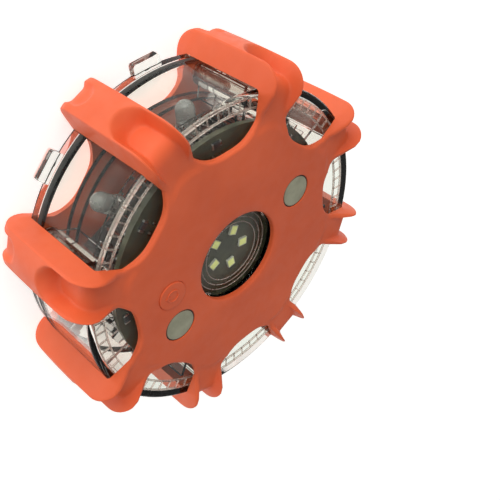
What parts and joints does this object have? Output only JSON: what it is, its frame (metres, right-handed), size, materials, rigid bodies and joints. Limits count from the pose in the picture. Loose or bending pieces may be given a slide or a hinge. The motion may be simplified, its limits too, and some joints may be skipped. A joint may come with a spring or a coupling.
{
  "type": "roadside safety light",
  "caption": "Puck-shaped roadside warning light: a clear round case of lamps in an orange rubber jacket with bumper arms.",
  "frame": {"origin": "middle of the plane the light lies on with its lamp face up", "axes": "+Z out of the lamp face; +X towards the magnet farther from the button; +Y towards the side with the two case tabs"},
  "size_m": [0.108, 0.108, 0.036],
  "materials": {
    "orange_rubber": "soft matte moulding",
    "clear_polycarbonate": "clear polished moulding",
    "black_silicone": "satin",
    "clear_epoxy": "clear cast lamp body",
    "board_laminate": "green-black solder mask",
    "led_white_plastic": "white reflector package",
    "led_phosphor": "pale yellow silicone",
    "tinned_leads": "bright tinned wire",
    "chip_plastic": "black epoxy moulding",
    "resistor_ceramic": "black glaze with tinned ends",
    "capacitor_ceramic": "tan fired ceramic",
    "nickel_plate": "nickel plated magnet",
    "zinc_steel": "zinc plated screw",
    "contact_steel": "nickel plated spring steel",
    "black_plastic": "black moulded tray",
    "white_plastic": "white moulded plunger",
    "cell_wrap": "printed film on a steel can",
    "red_insulation": "red wire cover",
    "black_insulation": "black wire cover"
  },
  "bodies": {
    "light": {"rubber_jacket": "orange_rubber", "front_case": "clear_polycarbonate", "back_cover": "clear_polycarbonate", "case_seal": "black_silicone", "led_carrier": "clear_polycarbonate", "main_board": "board_laminate", "side_lamp_leads": "tinned_leads", "white_led_phosphors": "led_phosphor", "controller_chip": "chip_plastic", "chip_resistors": "resistor_ceramic", "chip_capacitors": "capacitor_ceramic", "driver_transistors": "chip_plastic", "plunger_seal": "black_silicone", "switch_body": "black_plastic", "magnet_right": "nickel_plate", "magnet_left": "nickel_plate", "case_screws": "zinc_steel", "board_screws": "zinc_steel", "battery_tray": "black_plastic", "contact_plates": "contact_steel", "contact_springs": "contact_steel", "red_wire": "red_insulation", "black_wire": "black_insulation", "side_lamp_1": "clear_epoxy", "side_lamp_2": "clear_epoxy", "side_lamp_3": "clear_epoxy", "side_lamp_4": "clear_epoxy", "side_lamp_5": "clear_epoxy", "side_lamp_6": "clear_epoxy", "side_lamp_7": "clear_epoxy", "side_lamp_8": "clear_epoxy", "white_led_1": "led_white_plastic", "white_led_2": "led_white_plastic", "white_led_3": "led_white_plastic", "white_led_4": "led_white_plastic", "white_led_5": "led_white_plastic", "battery_cell_1": "cell_wrap", "battery_cell_2": "cell_wrap", "battery_cell_3": "cell_wrap"},
    "button": {"power_button": "orange_rubber", "button_plunger": "white_plastic", "switch_stem": "white_plastic"}
  },
  "joints": [
    {"name": "button_press", "type": "slide", "parent": "light", "child": "button", "axis": [0, 0, -1], "range_m": [0, 0.0004], "stiffness_N_per_m": 3000}
  ]
}
